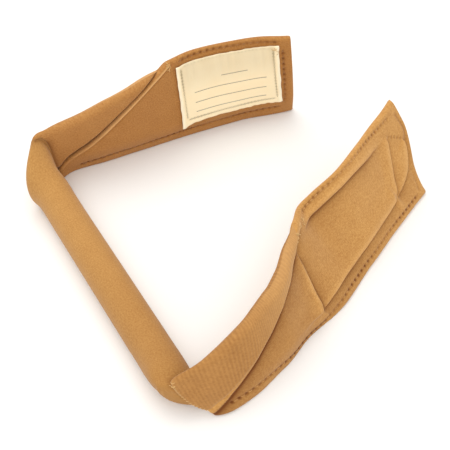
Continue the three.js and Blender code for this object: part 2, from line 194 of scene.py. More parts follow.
# How each wing runs on the surface, as in the solids
WING_COLUMNS = "along heading lean slant rise"
LABEL_WING_RUN = Table(WING_COLUMNS, [
    (0, 42, -10, 0, 0),
    (0.05, 42, -8, 0, 0.1),
    (0.1, 32, -3, 0, 0.22),
    (0.15, 22, -1, 0, 0.32),
    (0.25, 24, 0, 0, 0.55),
    (0.35, 26, 1, 0, 0.75),
    (0.45, 25, -2, 0, 0.92),
    (0.52, 25, -5, 0, 1),
    (0.6, 24, -8, 0, 1),
    (0.75, 21, -7, 0, 1),
    (0.85, 19, -5, 0, 1),
    (0.93, 19, -1, 0, 1),
    (1, 19, 2, 0, 1),
])
CLOSURE_WING_RUN = Table(WING_COLUMNS, [
    (0, 0, 5, -39, 0),
    (0.03, 8, 16, -32, 0.05),
    (0.06, 20, 22, -22, 0.13),
    (0.1, 31, 25, -10, 0.25),
    (0.15, 38, 26, 0, 0.39),
    (0.2, 44, 26, 0, 0.49),
    (0.25, 50, 25, 0, 0.59),
    (0.29, 57, 23, 0, 0.67),
    (0.33, 52, 24, 0, 0.76),
    (0.37, 43, 30, 0, 0.86),
    (0.41, 46, 33, 0, 0.92),
    (0.46, 54, 35, 0, 0.98),
    (0.5, 56, 37, 0, 1),
    (0.55, 57, 40, 0, 1),
    (0.6, 58, 38, 0, 1),
    (0.68, 56, 33, 0, 1),
    (0.8, 55, 33, 0, 1),
    (0.9, 54, 35, 0, 1),
    (1, 53, 36, 0, 1),
])

# Where each wing's own diagonal edge lies
LABEL_WING_EDGE = Table("up along", [
    (0, 0.055), (0.14, 0.055), (0.24, 0.097), (0.33, 0.16), (0.42, 0.21), (0.54, 0.265), (0.71, 0.337),
    (0.82, 0.393), (0.92, 0.45), (1, 0.5),
])
CLOSURE_WING_EDGE = Table("up along", [
    (0, 0.01), (0.18, 0.012), (0.3, 0.07), (0.4, 0.108), (0.48, 0.148), (0.58, 0.198), (0.68, 0.258),
    (0.78, 0.318), (0.9, 0.395), (1, 0.475),
])

# The closure band's lower edge on the outer face of its wing, and the outline of both bands' cut ends
CLOSURE_BAND_FOOT = Table("s w", [
    (-3, 4), (2.5, 4.8), (5, 6.4), (8.9, 8.7), (14.6, 12.4), (20.3, 16.1), (27.1, 20.5), (35.3, 24.9),
    (42.2, 29.3), (49.3, 34.4), (55.9, 38.3), (61.9, 41.4), (67.3, 44), (80, 47),
])
CLOSURE_BAND_CUT = Table("w s", [(0, 3.4), (3, 1.5), (11, -1.2), (20, -1.5), (27, 0.5), (50, 3)])
LABEL_BAND_CUT = Table("w s", [
    (0, 3), (6, 1.8), (14, -0.6), (22, -2.4), (27, -2), (33, -1), (50, 0),
])

# Outline of the free ends
LABEL_WING_END = Table("up reach climb", [(0, -0.01, 0), (0.5, -0.06, 0), (1, -0.12, 0)])
CLOSURE_WING_END = Table("up reach climb", [
    (0, 0, 0), (0.12, -0.02, 0), (0.32, 0, 0), (0.48, 0.06, 0), (0.61, 0.1, 0),
    (0.73, 0.115, 0), (0.88, 0.105, 0), (1, 0.085, 0.035),
])
CLIMB_POWER = 16

# The roll between its two flattened tips
ROLL_TIP = [
    (0, 0.76, 1, 1),
    (0.025, 0.92, 0.88, 0.88),
    (0.06, 1, 0.6, 0.62),
    (0.1, 1.02, 0.32, 0.35),
    (0.16, 1, 0.1, 0.1),
    (0.23, 1, 0, 0),
    (0.3, 1, 0, 0),
]
ROLL_SHAPE = ("across", "tall", "turn")
ROLL_FAR_TIP = [(1 - along, *shape) for along, *shape in ROLL_TIP[::-1]]
ROLL_RUN = Table("along across tall turn", ROLL_TIP + ROLL_FAR_TIP)
ROLL_SLIM = 0.05
ROLL_SIDE = 0.4
ROLL_TUCK = 0.45
ROLL_TUCK_LENGTH = 11

# Each tip against its wing: its place along the wing, how far it slides, and its height, width and squareness
CLOSURE_TIP = (-4, 0, 0.9, 1, 2)
LABEL_TIP = (-2.5, 3.6, 1.03, 0.7, 2.6)
LABEL_BULGE = 1.6
LABEL_BULGE_AT = 0.935
LABEL_BULGE_REACH = 0.04
LABEL_BULGE_WIDE = 0.05
TIP_WRAP = Table("out across tall", [(0, 1, 1), (0.05, 0.94, 0.9), (0.09, 0.7, 0.64)])


def heading(degrees):
    """Plan directions of the given angles, one row each."""
    angle = np.radians(np.asarray(degrees, float))
    return np.stack([np.cos(angle), np.sin(angle), np.zeros_like(angle)], axis=-1)


class WingSurface:
    """A wing's middle surface: a ruled sheet over a lower edge that runs along the ground."""

    def __init__(self, run, length, band_width, start, outside):
        self.run, self.length, self.band_width, self.outside = run, length, band_width, outside
        middles = run.read("along", "heading", (np.arange(PATH_STEPS) + 0.5) / PATH_STEPS)
        steps = heading(middles) * length / PATH_STEPS
        self.path = np.concatenate([[start], start + np.cumsum(steps, axis=0)])

    def share(self, s):
        return np.clip(s / self.length, 0, 1)

    def frame(self, s):
        along = self.share(s)
        tangent = heading(self.run.read("along", "heading", along))
        out = np.stack([-tangent[..., 1], tangent[..., 0], tangent[..., 2]], axis=-1) * self.outside
        up = np.array([0, 0, 1])
        lean = np.radians(self.run.read("along", "lean", along))[..., None]
        slant = np.radians(self.run.read("along", "slant", along))[..., None]
        upright = up * np.cos(lean) - out * np.sin(lean)
        normal = out * np.cos(lean) + up * np.sin(lean)
        ruling = upright * np.cos(slant) + tangent * np.sin(slant)
        at = along * PATH_STEPS
        i = np.minimum(at.astype(int), PATH_STEPS - 1)
        foot = lerp(self.path[i], self.path[i + 1], (at - i)[..., None])
        beyond = (s - np.clip(s, 0, self.length))[..., None]
        return foot + tangent * beyond, tangent, ruling, normal

    def height(self, s):
        return lerp(self.band_width, WING_WIDTH, self.run.read("along", "rise", self.share(s)))

    def point(self, s, w, n):
        s, w, n = np.broadcast_arrays(*(np.asarray(x, float) for x in (s, w, n)))
        foot, _, ruling, normal = self.frame(s)
        return foot + ruling * w[..., None] + normal * n[..., None]

    def locate(self, points):
        """The wing coordinates (s, w, n) of points near the wing's corner."""
        s = np.zeros(points.shape[:-1])
        for _ in range(12):
            foot, tangent, ruling, normal = self.frame(s)
            basis = np.stack([tangent, ruling, normal], axis=-1)
            local = np.linalg.solve(basis, (points - foot)[..., None])[..., 0]
            s = s + 0.7 * local[..., 0]
        return s, local[..., 1], local[..., 2]


def wing_edge_height(edge, surface, s):
    """Where a wing's diagonal edge stands at a place along it."""
    up, along = edge.columns["up"][1:], edge.columns["along"][1:]
    share = s / surface.length
    height = np.interp(share, along, up) * WING_WIDTH
    return height + np.maximum(share - along[-1], 0) * surface.length


class Line:
    """A smooth line through a few places (s, w) of a wing. The side to its left counts as positive."""

    STEP = 0.8

    def __init__(self, *places):
        knots = np.array(places, float)
        reach = np.concatenate([[0], np.cumsum(np.linalg.norm(np.diff(knots, axis=0), axis=1))])
        self.length = reach[-1]
        travel = np.linspace(0, self.length, max(2, int(self.length / self.STEP) + 1))
        curve = Table("travel s w", np.column_stack([reach, knots]))
        self.travel = travel
        self.points = np.column_stack([curve.read("travel", name, travel) for name in ("s", "w")])

    def at(self, travel):
        """Places and directions at distances along the line."""
        place, ahead, behind = (
            np.column_stack([np.interp(travel + step, self.travel, self.points[:, k]) for k in (0, 1)])
            for step in (0, 0.1, -0.1))
        direction = ahead - behind
        return place, direction / np.linalg.norm(direction, axis=1, keepdims=True)

    def near(self, s, w, reach):
        """Signed distance to the line, and how far along it the nearest place is, for places within reach."""
        distance = np.full(s.shape, 1e3)
        travel = np.zeros(s.shape)
        low, high = self.points.min(0) - reach, self.points.max(0) + reach
        close = (s > low[0]) & (s < high[0]) & (w > low[1]) & (w < high[1])
        place = np.column_stack([s[close], w[close]])
        gaps = ((place[:, None, :] - self.points[None]) ** 2).sum(-1)
        last = len(self.points) - 1
        i = np.clip(gaps.argmin(1), min(1, last - 1), max(last - 1, 0))
        direction = self.points[np.minimum(i + 1, last)] - self.points[np.maximum(i - 1, 0)]
        direction /= np.linalg.norm(direction, axis=1, keepdims=True)
        offset = place - self.points[i]
        along = (offset * direction).sum(1)
        side = direction[:, 0] * offset[:, 1] - direction[:, 1] * offset[:, 0]
        past = np.maximum(-(self.travel[i] + along), self.travel[i] + along - self.length)
        far = np.hypot(side, np.maximum(past, 0))
        distance[close] = np.where(past > 0, np.sign(side) * far, side)
        travel[close] = np.clip(self.travel[i] + along, 0, self.length)
        return distance, travel


class Fold:
    """A shingled fold: the cloth to the left of its line lies over the cloth to the right, which dips.

    lift is the height of the lip and reach how far it slopes back. sink is the depth of the dip. starts and
    stops are the lengths over which the fold runs in and out.
    """

    EDGE, LIP, FLAT = 1.3, 0.5, 0.6
    DIP = 4.5
    # The painted highlight along the lip, and the painted shade on the lip's edge and in the crease below it.
    # crease scales both.
    GLOW, GLOW_AT, GLOW_REACH = 0.28, 1.8, 1.5
    OVER, NEAR, WIDE = 0.9, 0.55, 0.45

    def __init__(self, line, lift, reach, sink, crease, starts=4, stops=4):
        self.line, self.lift, self.reach, self.sink = line, lift, reach, sink
        self.crease, self.starts, self.stops = crease, starts, stops

    def shape(self, s, w):
        """Height of the cloth and depth of shade at places of the wing."""
        distance, travel = self.line.near(s, w, max(self.reach, 3 * self.DIP) + 2)
        ends = smooth(travel / self.starts) * smooth((self.line.length - travel) / self.stops)
        above = distance >= 0
        below = np.maximum(-distance, 0)
        edge = rounded(distance, self.EDGE)
        lip = self.lift * edge * fade((distance - self.FLAT) / self.reach)
        dip = -self.sink * np.exp(-below / self.DIP) * np.where(above, 1 - edge, 1)
        highlight = self.GLOW * bell(distance - self.GLOW_AT, self.GLOW_REACH)
        over = self.OVER * (1 - rounded(distance, self.LIP)) - highlight
        under = self.NEAR * bell(below, self.EDGE) + self.WIDE * np.exp(-below / self.DIP)
        far = fade((below - 2 * self.DIP) / self.DIP)
        return (lip + dip * far) * ends, self.crease * np.where(above, over, under) * ends * far


class Piping:
    """A narrow rolled border to the left of its line, with a groove beside it. It thins towards its end."""

    GROOVE_AT, GROOVE_REACH = 0.3, 0.6
    # The painted highlight on the rolled border. crease scales the painted shade in the groove.
    GLOW, GLOW_REACH = 0.7, 0.6
    LEAST, GROWTH = 0.25, 40

    def __init__(self, line, width, lift, groove, crease):
        self.line, self.width, self.lift, self.groove, self.crease = line, width, lift, groove, crease

    def shape(self, s, w):
        distance, travel = self.line.near(s, w, self.width + 4)
        across = np.clip(2 * distance / self.width - 1, -1, 1)
        roll = self.lift * np.sqrt(1 - across ** 2)
        gap = bell(distance - self.width - self.GROOVE_AT, self.GROOVE_REACH)
        highlight = self.GLOW * bell(distance - self.width / 2, self.GLOW_REACH * self.width)
        highlight = highlight * (distance < self.width)
        grown = lerp(self.LEAST, 1, smooth((self.line.length - travel) / self.GROWTH))
        return (roll - self.groove * gap) * grown, (self.crease * gap - highlight) * grown


class Row:
    """A row of stitches sunk into the cloth: a groove along a line, with a pinhole between stitches."""

    # The groove's depth and painted shade, and the pinholes' depth and darker painted shade.
    GROOVE, GROOVE_DARK = 0.5, 0.2
    PIN, PIN_WIDTH = 0.8, 0.75
    UNEVEN, SCATTER = 0.3, 12.9898
    ENDS = 2

    def __init__(self, line, pitch, depth, strength, sharp=4, width=1):
        self.line, self.pitch, self.depth = line, pitch, depth
        self.strength, self.sharp, self.width = strength, sharp, width

    def shape(self, s, w):
        distance, travel = self.line.near(s, w, 4)
        uneven = 1 - self.UNEVEN + self.UNEVEN * np.sin(self.SCATTER * np.round(travel / self.pitch))
        holes = uneven * np.cos(math.pi * travel / self.pitch) ** self.sharp
        groove = bell(distance, self.width)
        pin = self.PIN * (bell(distance / self.width, self.PIN_WIDTH) * holes)
        ends = smooth((self.line.length - travel) / self.ENDS) * smooth(travel / self.ENDS)
        height = -self.depth * (self.GROOVE * groove + pin)
        return height * ends, self.strength * (self.GROOVE_DARK * groove + pin) * ends


def relief(features, s, w):
    """The joint height and painted shading of folds and stitch rows: painted shade above 0 in creases and
    grooves, and painted highlights below 0 on lips.
    """
    height, dark, light = np.zeros(s.shape), np.zeros(s.shape), np.zeros(s.shape)
    for feature in features:
        more, painted_shading = feature.shape(s, w)
        height = height + more
        dark = np.maximum(dark, painted_shading)
        light = np.minimum(light, painted_shading)
    return height, dark + light * (1 - np.minimum(dark, 1))


def ripple(s, w, seed, size):
    """A soft uneven swell of about one unit, the same on every run."""
    random = np.random.default_rng(seed)
    total = np.zeros(np.broadcast(s, w).shape)
    for _ in range(7):
        angle = random.uniform(0, math.tau)
        wave = size * random.uniform(0.7, 1.6)
        phase = random.uniform(0, math.tau)
        total = total + np.sin(math.tau * (s * math.cos(angle) + w * math.sin(angle)) / wave + phase)
    return total / 4


def bordered(length, border):
    """Shares from 0 to 1: a few round steps in both borders and even cells between them."""
    steps = border * (1 - np.cos(np.linspace(0, math.pi / 2, RIM_STEPS, endpoint=False)))
    middle = np.linspace(border, length - border, max(2, int(length / CELL)))
    return np.concatenate([steps, middle, (length - steps)[::-1]]) / length


def srgb(red, green, blue):
    """A colour as eyes read it, 0 to 255, in the renderer's linear numbers."""
    share = np.array([red, green, blue]) / 255
    linear = np.where(share <= 0.04045, share / 12.92, ((share + 0.055) / 1.055) ** 2.4)
    return (*linear.tolist(), 1)


class Strap:
    """Places the corners of the strap in the frame."""

    def __init__(self):
        start = np.array([0, 0, -PRESSED])
        far = start + heading(ROLL_HEADING) * ROLL_LENGTH
        self.closure = WingSurface(CLOSURE_WING_RUN, CLOSURE_WING_LENGTH, CLOSURE_BAND_WIDTH, start, -1)
        self.label = WingSurface(LABEL_WING_RUN, LABEL_WING_LENGTH, LABEL_BAND_WIDTH, far, 1)
        s = np.linspace(HOOK_START, HOOK_STOP, 15)
        w = np.linspace(-0.5, 0.5, 4) * HOOK_WIDTH + WING_WIDTH / 2
        n = -(WING_THICKNESS / 2 + GAP) - np.array([0, HOOK_THICKNESS])
        grid = self.closure.point(*np.meshgrid(s, w, n, indexing="ij")).reshape(-1, 3)
        low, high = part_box("hook_patch")
        middle = np.array((low + high) / 2) / MM
        self.shift = (middle - (grid.min(0) + grid.max(0)) / 2) * [1, 1, 0]

    def place(self, points):
        """Metres in the frame from millimetres at the closure corner. What rests is pressed flat."""
        points = np.asarray(points, float) + self.shift
        points[..., 2] = np.maximum(points[..., 2], 0)
        return points * MM


def add_object(name, data):
    made = bpy.data.objects.new(name, data)
    bpy.context.scene.collection.objects.link(made)
    return made


def add_mesh(name, vertices, faces, cloth=None, shade=None):
    """A smooth-shaded mesh. cloth is each vertex's place on its cloth in mm, and shade is its painted shade
    (below 0, painted highlight).
    """
    mesh = bpy.data.meshes.new(name)
    mesh.from_pydata(np.asarray(vertices).tolist(), [], [list(map(int, face)) for face in faces])
    mesh.validate()
    mesh.polygons.foreach_set("use_smooth", [True] * len(mesh.polygons))
    fields = (("cloth", "FLOAT_VECTOR", "vector", cloth), ("shade", "FLOAT", "value", shade))
    for key, kind, field, values in fields:
        if values is not None:
            data = mesh.attributes.new(key, kind, "POINT").data
            data.foreach_set(field, np.asarray(values, np.float32).ravel())
    mesh.update()
    return add_object(name, mesh)


def grid_faces(rows, columns, start, flip):
    """Four-sided faces of a grid of vertices."""
    i, k = np.meshgrid(np.arange(rows - 1), np.arange(columns - 1), indexing="ij")
    a = (start + i * columns + k).ravel()
    face = np.stack([a, a + 1, a + columns + 1, a + columns], axis=-1)
    return face[:, ::-1] if flip else face


def outward(vertices, faces):
    """The faces, all turned over if they face inwards."""
    points = np.asarray(vertices, float)
    a, b, c, d = (points[[face[k] for face in faces]] for k in (0, 1, 2, -1))
    volume = (np.cross(a, b) * c).sum() + (np.cross(a, c) * d).sum()
    return faces if volume > 0 else [list(face)[::-1] for face in faces]


def cloth_sheet(name, strap, inner, outer, s, w, inner_shade, outer_shade):
    """A closed piece between an inner and an outer grid of points."""
    rows, columns = s.shape
    size = rows * columns
    vertices = strap.place(np.concatenate([inner.reshape(-1, 3), outer.reshape(-1, 3)]))
    faces = [*grid_faces(rows, columns, 0, False), *grid_faces(rows, columns, size, True)]
    number = np.arange(size).reshape(rows, columns)
    rim = np.concatenate([number[0, :], number[1:, -1], number[-1, -2::-1], number[-2:0:-1, 0]])
    ahead = np.roll(rim, -1)
    faces += list(np.stack([ahead, rim, rim + size, ahead + size], axis=-1))
    place = np.stack([s, w, np.zeros_like(s)], axis=-1).reshape(-1, 3)
    cloth = np.concatenate([place, place + [0, 0, 1]])
    shade = np.concatenate([inner_shade.ravel(), outer_shade.ravel()])
    return add_mesh(name, vertices, outward(vertices, faces), cloth, shade)


# Lines on the wings, as places (s, w)
LABEL_HEM = [
    Line((75, 49.2), (82, 49.6), (92, 49.8), (105, 49.7), (118, 49.4), (128.6, 48.8)),
    Line((130, 45.5), (131.2, 33), (132.5, 20), (133.2, 8)),
    Line((131.5, 6.4), (110, 6), (90, 5.8), (70, 5.8), (55, 5.9), (42, 5.9), (28, 5.3), (17.8, 4.4)),
]
LABEL_EDGE = Line(*[
    (along * LABEL_WING_LENGTH, up * WING_WIDTH)
    for up, along in zip(*(LABEL_WING_EDGE.columns[key][:0:-1] for key in ("up", "along")))])
CLOSURE_HEM = [
    Line((86, 47.7), (92, 48.2), (98, 48.5), (110, 48.6), (128, 48.3), (140, 47.8), (152, 47), (160, 46.6)),
    Line((157, 3.8), (145, 3.7), (130, 4.1), (110, 3.9), (98, 3.7), (86, 3.9), (74, 3.2), (64, 2.3),
         (54, 2.6), (45.5, 3.2), (38, 4.2), (30.7, 4.7), (20.8, 4.7), (13.7, 4.5), (8, 4.2)),
]
CLOSURE_RIM = Line((165, 46.5), (167, 36.2), (165.4, 29.8), (160.3, 19.6), (159.2, 9.7), (158.1, 4.2))
BAND_FOOT = Line((1, 1.8), (3.7, 3), (6.1, 4.4), (10.1, 6.8), (15.9, 10.6), (21.6, 14.3), (28.4, 18.7),
                 (36.5, 23), (43.4, 27.4), (50.5, 32.5), (57, 36.6), (62.8, 40), (68, 42.8), (75, 45.6))
FOLD_TWO = Line((66.8, 7.6), (66.7, 17.3), (66.4, 26.1), (66, 34.8), (66.3, 40), (67.5, 42.6))
FOLD_TIP = Line((66, 36), (66.3, 40), (68.5, 43.2), (76.2, 45.8), (83.2, 47.2))
FOLD_LOWER = Line((66.8, 7.6), (68.7, 8.6), (76.6, 9.7), (86, 9.9), (94.3, 9.7), (103.9, 10), (112.3, 10.6),
                  (122.8, 11.1), (131.6, 11.5), (141.2, 12.7))
FOLD_THREE = Line((141.2, 12.9), (143.8, 18.8), (146.5, 24.6), (149.8, 31.6), (153, 40.3))
FOLD_PATCH = Line((141.2, 12.6), (147.8, 14.1), (153.3, 16.2), (158, 19.7), (161.7, 25), (163.6, 30.9),
                  (162.5, 33.5))
FOLD_TOP = Line((79, 43.6), (85, 42.9), (92.4, 42.9), (100.7, 42.7), (109, 42.8), (120.6, 42.7),
                (134, 41.4), (143, 40.9), (152.2, 40.6))
PATCH_SEAM = Line((152.2, 40.6), (157.9, 36.9), (163, 32.5))
PATCH_STITCHES = [(92.2, 12.2), (151.8, 12.2), (151.8, 37.8), (92.2, 37.8)]

# What those lines do to the cloth: its shape, and the painted shade and painted highlights along them
LABEL_FEATURES = [Row(line, 3.4, 0.7, 0.95) for line in LABEL_HEM]
LABEL_INNER_FEATURES = LABEL_FEATURES + [Piping(LABEL_EDGE, 1.3, 0.3, 0.15, 0.3)]
CLOSURE_FEATURES = [Row(CLOSURE_HEM[0], 2.9, 0.5, 0.75), Row(CLOSURE_HEM[1], 3.2, 0.65, 1.15)]
CLOSURE_OUTER_FEATURES = CLOSURE_FEATURES + [
    Row(CLOSURE_RIM, 3, 0.35, 0.4, 0),
    Row(PATCH_SEAM, 2.4, 0.4, 0.5),
    Fold(BAND_FOOT, 0, 3, 1.1, 1, 1, 8),
    Fold(FOLD_TWO, 1.6, 15, 1.3, 0.95, 2, 10),
    Fold(FOLD_TIP, 0.2, 2, 0.9, 0.8, 6, 12),
    Fold(FOLD_LOWER, 1.4, 14, 1.1, 0.9, 2, 3),
    Fold(FOLD_THREE, 1, 9, 0.8, 0.7, 3, 3),
    Fold(FOLD_PATCH, 1.1, 9, 1.1, 0.8, 3, 4),
    Fold(FOLD_TOP, 0.8, 5, 0.8, 0.85, 14, 24),
]
HOOK_ROWS = [Row(Line(PATCH_STITCHES[k - 1], PATCH_STITCHES[k]), 2.6, 0.3, 0.5) for k in (1, 2, 3, 0)]
LABEL_ROWS = [
    Row(Line((76.4, 46), (77.8, 14)), 1.9, 0.3, 0.8, 2, 0.6),
    Row(Line((77.8, 14), (90, 14), (105, 14.2), (119, 14.5), (128, 14.8)), 1.9, 0.3, 0.8, 2, 0.6),
    Row(Line((128.2, 14.8), (126.6, 28), (124.8, 46)), 1.9, 0.3, 0.9, 2, 0.6),
    Row(Line((76.8, 46.3), (90, 46.4), (108, 46.4), (124.4, 46.2)), 1.9, 0.2, 0.15, 2, 0.6),
]

# Ruled lines on the label: height up the wing, and where they start and stop along it
RULED_LINES = [(35, 98, 112), (29, 83, 122), (23, 83, 122), (17.5, 83, 122)]
RULED_HALF = 0.2
RULED_INK = 0.75

# Colours: light and dark yarn of each cloth or thread, the painted shade in its creases and the painted
# highlight on its lips
ROLL_YARN = srgb(191, 143, 81), srgb(168, 119, 62)
BAND_YARN = srgb(185, 134, 75), srgb(148, 100, 51)
INNER_BAND_YARN = srgb(189, 137, 78), srgb(165, 111, 57)
LABEL_WING_YARN = srgb(186, 132, 71), srgb(160, 106, 52)
CLOSURE_WING_YARN = srgb(205, 154, 88), srgb(178, 125, 64)
CREASE_SHADE = srgb(112, 62, 22)
LIP_HIGHLIGHT = srgb(234, 186, 124)
LABEL_YARN = srgb(255, 242, 208), srgb(251, 230, 187)
LABEL_CREASE_SHADE = srgb(128, 108, 76)
LABEL_LIP_HIGHLIGHT = srgb(255, 250, 226)
LABEL_INK = srgb(112, 95, 80)
HOOK_YARN = srgb(200, 160, 108), srgb(176, 134, 84)
HOOK_CREASE_SHADE = srgb(110, 78, 44)
TAN_THREAD = srgb(206, 154, 90), srgb(168, 116, 60)
DARK_THREAD = srgb(172, 120, 66), srgb(138, 90, 45)
PALE_THREAD = srgb(226, 192, 130), srgb(194, 150, 88)
CREAM_THREAD = srgb(178, 160, 120), srgb(126, 108, 76)
FLOOR_COLOUR = srgb(242, 241, 239)
ROOM_COLOUR = (1, 0.997, 0.99, 1)

# Lamps: name, place, where it points, side, watts and colour
LAMPS = [
    ("sky_lamp", (-0.2, 0.3, 0.7), (0, 0, 0), 0.6, 2.2, (1, 0.985, 0.96)),
    ("front_lamp", (-0.02, -0.3, 0.4), (-0.04, 0.05, 0.02), 0.3, 0.5, (1, 0.99, 0.97)),
]


def tuck(s, w):
    """How far the closure wing's lower edge curls in. It bends out at the corner and the band's tip."""
    inwards = 2.6 * smooth((s - 14) / 22) * smooth((84 - s) / 22)
    outwards = 2.8 * fade((s - 3) / 15)
    shoulder = 1.4 * bell(s - 75, 9) * smooth((w - 38) / 12)
    return (inwards - outwards) * fade(w / 11) - shoulder


def flare(s, w):
    """How far the label wing's lower edge curls in. It is below 0, because that edge turns outwards."""
    return -3 * fade(w / 14) * smooth(s / 16) * (1 - 0.5 * smooth((s - 110) / 25))


def closure_painted_shading(s, w):
    """Painted shading on the closure wing's outer face: painted shade near the band, and a painted highlight
    on the facet by its free end.
    """
    facet = bell(s - 155, 5) * bell(w - 27, 8)
    return 0.12 * fade((s - 95) / 20) + 0.13 * fade((s - 55) / 12) - 0.15 * facet


def patch_grid(length, height, border):
    """Shares along and up a patch of cloth, and how far each place is from its short and its long edges."""
    u, v = np.meshgrid(bordered(length, border), bordered(height, border), indexing="ij")
    return u, v, np.minimum(u, 1 - u) * length, np.minimum(v, 1 - v) * height


def wing_piece(name, strap, surface, edge, end, inner_features, outer_features, seed, proud, curl, painted_shading):
    """A wing: a doubled cloth laminate with a round border, from its diagonal edge to its free end.

    proud raises its top edge, curl bends it inwards, and the last argument gives its outer face painted shade
    and painted highlights.
    """
    share, up, lengthwise, across = patch_grid(surface.length, WING_WIDTH, WING_BORDER)
    first = edge.read("up", "along", up) * surface.length
    last = surface.length + end.read("up", "reach", up) * WING_WIDTH
    s = lerp(first, last, share)
    climb = end.read("up", "climb", up) * share ** CLIMB_POWER
    w = (up + climb) * WING_WIDTH + proud * smooth(up) * smooth((s - 40) / 30)
    border = rounded(across, WING_BORDER) * rounded(lengthwise, WING_BORDER)
    half = WING_THICKNESS / 2 * border
    swell = sum(high * ripple(s, w, seed + k, size) for k, (high, size) in enumerate(WING_SWELL))
    # Each face's folds and stitch rows give its height, painted shade and painted highlights.
    inner_height, inner_shade = relief(inner_features, s, w)
    outer_height, outer_shade = relief(outer_features, s, w)
    middle = -curl(s, w)
    inner = surface.point(s, w, middle - np.maximum(half + (inner_height + swell) * border, WING_LEAST))
    outer = surface.point(s, w, middle + np.maximum(half + (outer_height + swell) * border, WING_LEAST))
    return cloth_sheet(name, strap, inner, outer, s, w, inner_shade, outer_shade + painted_shading(s, w))


def band_half(s):
    """Half the thickness of a band where it is free of its wing."""
    return BAND_PUFF * np.minimum(1, BAND_END + np.maximum(s / ROLL_DIAMETER - 0.35, 0))


def label_band_foot(surface, s):
    """The label band's lower edge, which laps over its wing by the same amount all the way."""
    return wing_edge_height(LABEL_WING_EDGE, surface, s) - LAP_UPRIGHT


def closure_band_foot(surface, s):
    """The closure band's lower edge, which has its own slope over the wing."""
    return CLOSURE_BAND_FOOT.read("s", "w", s)


def band_piece(name, strap, surface, edge, foot, cut, proud, heel, corner, droop, pinch, seed):
    """A band: puffed where it is free, lapped over the outer face of its wing, narrowing to the bartack.

    heel raises the top of its cut end and corner rounds it. droop lowers the tip, and pinch is where the
    roll's tip ends on the band.
    """
    tip = edge.columns["along"][-1] * surface.length + LAP / 2
    level = np.concatenate([
        np.linspace(-1, 0, LAP_ROWS, endpoint=False), np.linspace(0, 1, int(WING_WIDTH / CELL))])
    share, level = np.meshgrid(bordered(tip, BAND_BORDER), level, indexing="ij")
    along = share * tip
    drawn = smooth((share - 1 + BAND_TIP_SHARE) / BAND_TIP_SHARE)
    top = surface.height(along) - droop * drawn + proud * smooth(share)
    top = top + heel * fade(along / HEEL_REACH) - corner * (1 - rounded(along, corner))
    bottom = np.clip(foot(surface, along), 0, top - BAND_TIP_TALL)
    seam = wing_edge_height(edge, surface, along) + SEAM
    knee = np.clip(seam, lerp(bottom, top, KNEE_LOW), lerp(bottom, top, KNEE_HIGH))
    w = np.where(level < 0, lerp(knee, bottom, -level), lerp(knee, top, np.sin(level * math.pi / 2)))
    past = np.maximum(w - seam, 0)
    ends = rounded(along, CUT_ROUND) * rounded(tip - along, TIP_ROUND)
    full = band_half(along) / BAND_PUFF * np.maximum(ends, 0.12)
    crown = full * BAND_PUFF * rounded(top - w, CROWN, 0.06)
    crown = crown * np.where(seam > bottom + 0.5, 1, rounded(w - bottom, CROWN, 0.1))
    skin = full * BAND_SKIN * rounded(w - bottom, LAP_ROUND, 0.15)
    s = along + cut.read("w", "s", w) * fade(along / CUT_REACH)
    seat = WING_THICKNESS / 2 + LAP_GAP
    swell = BAND_SWELL[0] * ripple(s, w, seed, BAND_SWELL[1]) * smooth(past / SWELL_FROM) * ends
    low = lerp(seat, -crown * smooth(past / INNER_BELLY) - swell, smooth(past / INNER_DROP))
    high = lerp((seat + skin) * rounded(top - w, BROW, 0.12), crown + swell, smooth(past / OUTER_BELLY))
    least = BAND_LEAST * np.clip(ends, 0.1, 1) * np.clip(top - w, 0.15, 1)
    inner = surface.point(s, w, np.minimum(low, high - least))
    outer = surface.point(s, w, high)
    # Painted shade on the inner face where it meets the wing's edge and beside the roll's tip. On the outer
    # face: a painted highlight along the lapped lower edge and the cut end, and painted light growing towards
    # the tip.
    crease = (0.4 * bell(past - 0.6, 1.3) + 0.15 * np.exp(-past / 6)) * (level > 0)
    tip_shade = np.exp(-(np.abs(s - pinch) / 1.7) ** 1.3) * smooth((surface.band_width - w) / 5)
    rim = bell(w - bottom, 1.1) + 0.8 * bell(along, 1.1)
    outer_shade = -0.22 * rim - 0.25 * smooth((s - 15) / 40)
    return cloth_sheet(name, strap, inner, outer, s, w, np.maximum(crease, 0.9 * tip_shade), outer_shade)


class Tip:
    """A flattened end of the roll, against the corner of a wing."""

    def __init__(self, surface, shift, slide, tall, wide, square):
        self.surface, self.wide, self.square = surface, wide, square
        self.shift, self.slide = shift + slide, slide
        self.half = surface.band_width / 2 * tall
        _, self.tangent, self.ruling, _ = surface.frame(np.float64(0))
        self.middle = surface.point(shift, self.half, 0)


def ring_shape(square):
    """A ring of unit size: a circle at 2, and more like a box above that."""
    angle = math.tau * (np.arange(ROLL_SIDES) + 0.5) / ROLL_SIDES
    x, y = np.sin(angle)[:, None], -np.cos(angle)[:, None]
    power = 2 / square
    return np.sign(x) * np.abs(x) ** power, np.sign(y) * np.abs(y) ** power


def tucked(y, away):
    """The lower half of the roll's near tip, drawn up from the surface by the fold."""
    return np.where(y < 0, y * (1 - ROLL_TUCK * fade(away / ROLL_TUCK_LENGTH)), y)


